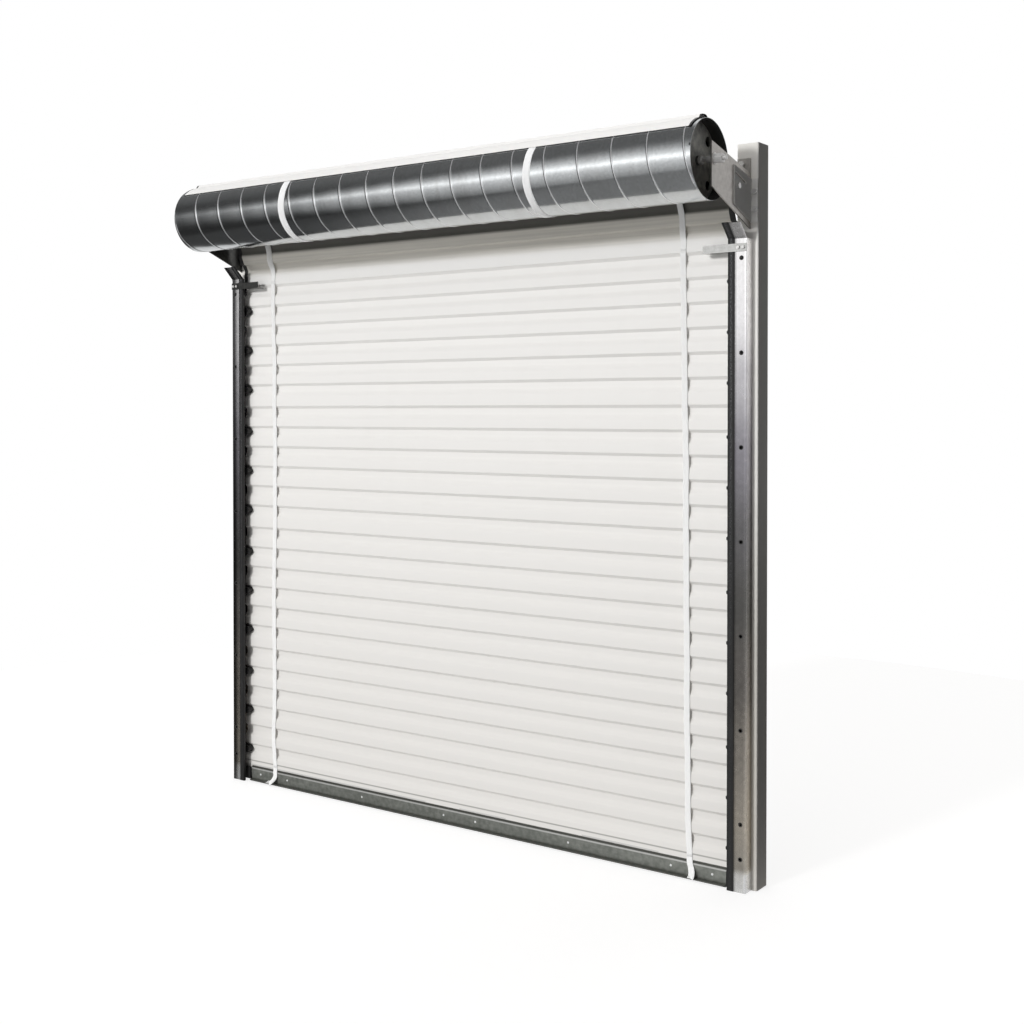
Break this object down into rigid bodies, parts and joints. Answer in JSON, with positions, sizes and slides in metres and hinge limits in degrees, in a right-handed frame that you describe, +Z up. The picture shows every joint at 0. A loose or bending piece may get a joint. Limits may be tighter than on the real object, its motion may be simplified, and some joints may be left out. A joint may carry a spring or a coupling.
{
  "type": "roller shutter door",
  "caption": "Roller shutter door: a corrugated sheet curtain with a bottom bar slides up in side guides and winds on a spiral seamed drum carried by brackets on two posts.",
  "frame": {"origin": "on the floor at mid width, in the plane of the curtain's inner crests, under the bottom seal", "axes": "+X across the door, to the right seen from the room side; +Y outwards through the wall; +Z up"},
  "size_m": [2.444, 0.4557, 2.4764],
  "materials": {
    "galvanised": "zinc-coated sheet, dull sheen",
    "drum_metal": "zinc-coated spiral tube, bright streaks",
    "post_steel": "galvanised tube",
    "painted_sheet": "satin ivory white enamel",
    "black_edging": "black, matte",
    "zinc_fastener": "zinc plated",
    "dark_cap": "dark grey, dull",
    "bearing_plastic": "dark grey",
    "spring_steel": "oiled spring wire",
    "webbing": "white woven strap",
    "drum_felt": "white tape",
    "seal_rubber": "black"
  },
  "bodies": {
    "frame": {"axle": "zinc_fastener", "curtain_lean": "painted_sheet", "curtain_wrap": "painted_sheet", "strap_leads": "webbing", "curtain_strip_1": "painted_sheet", "curtain_strip_2": "painted_sheet", "curtain_strip_3": "painted_sheet", "curtain_strip_4": "painted_sheet", "left_post": "post_steel", "left_guide": "galvanised", "left_wear_strip": "black_edging", "left_guide_screws": "zinc_fastener", "left_stop_plate": "galvanised", "left_stop_bolts": "zinc_fastener", "left_bracket_plate": "galvanised", "left_bracket_foot": "galvanised", "left_bracket_bolts": "zinc_fastener", "left_axle_nut": "zinc_fastener", "left_axle_collar": "zinc_fastener", "left_torsion_spring": "spring_steel", "left_strap": "webbing", "left_edge_clips": "black_edging", "right_post": "post_steel", "right_guide": "galvanised", "right_wear_strip": "black_edging", "right_guide_screws": "zinc_fastener", "right_stop_plate": "galvanised", "right_stop_bolts": "zinc_fastener", "right_bracket_plate": "galvanised", "right_bracket_foot": "galvanised", "right_bracket_bolts": "zinc_fastener", "right_axle_nut": "zinc_fastener", "right_axle_collar": "zinc_fastener", "right_torsion_spring": "spring_steel", "right_strap": "webbing", "right_edge_clips": "black_edging"},
    "curtain_foot": {"bottom_angle": "galvanised", "bar_cap": "galvanised", "bar_rivets": "zinc_fastener", "curtain_hem": "painted_sheet", "bottom_seal": "seal_rubber", "left_bar_runner": "black_edging", "left_strap_loop": "webbing", "right_bar_runner": "black_edging", "right_strap_loop": "webbing"},
    "drum": {"drum_tube": "drum_metal", "drum_lock_seam": "drum_metal", "left_drum_band": "drum_felt", "left_drum_cap": "dark_cap", "left_drum_bearing": "bearing_plastic", "right_drum_band": "drum_felt", "right_drum_cap": "dark_cap", "right_drum_bearing": "bearing_plastic"}
  },
  "joints": [
    {"name": "curtain_lift", "type": "slide", "parent": "frame", "child": "curtain_foot", "axis": [0, 0, 1], "range_m": [0, 2.005], "deforming": ["curtain_strip_1", "curtain_strip_2", "curtain_strip_3", "curtain_strip_4", "left_strap", "left_edge_clips", "right_strap", "right_edge_clips"]},
    {"name": "drum_spin", "type": "hinge", "parent": "frame", "child": "drum", "pos_m": [0, -0.2376, 2.3361], "axis": [1, 0, 0], "range_deg": [0, 851]}
  ],
  "couplings": [
    {"joint": "drum_spin", "follows": "curtain_lift", "rad_per_m": 7.4}
  ]
}
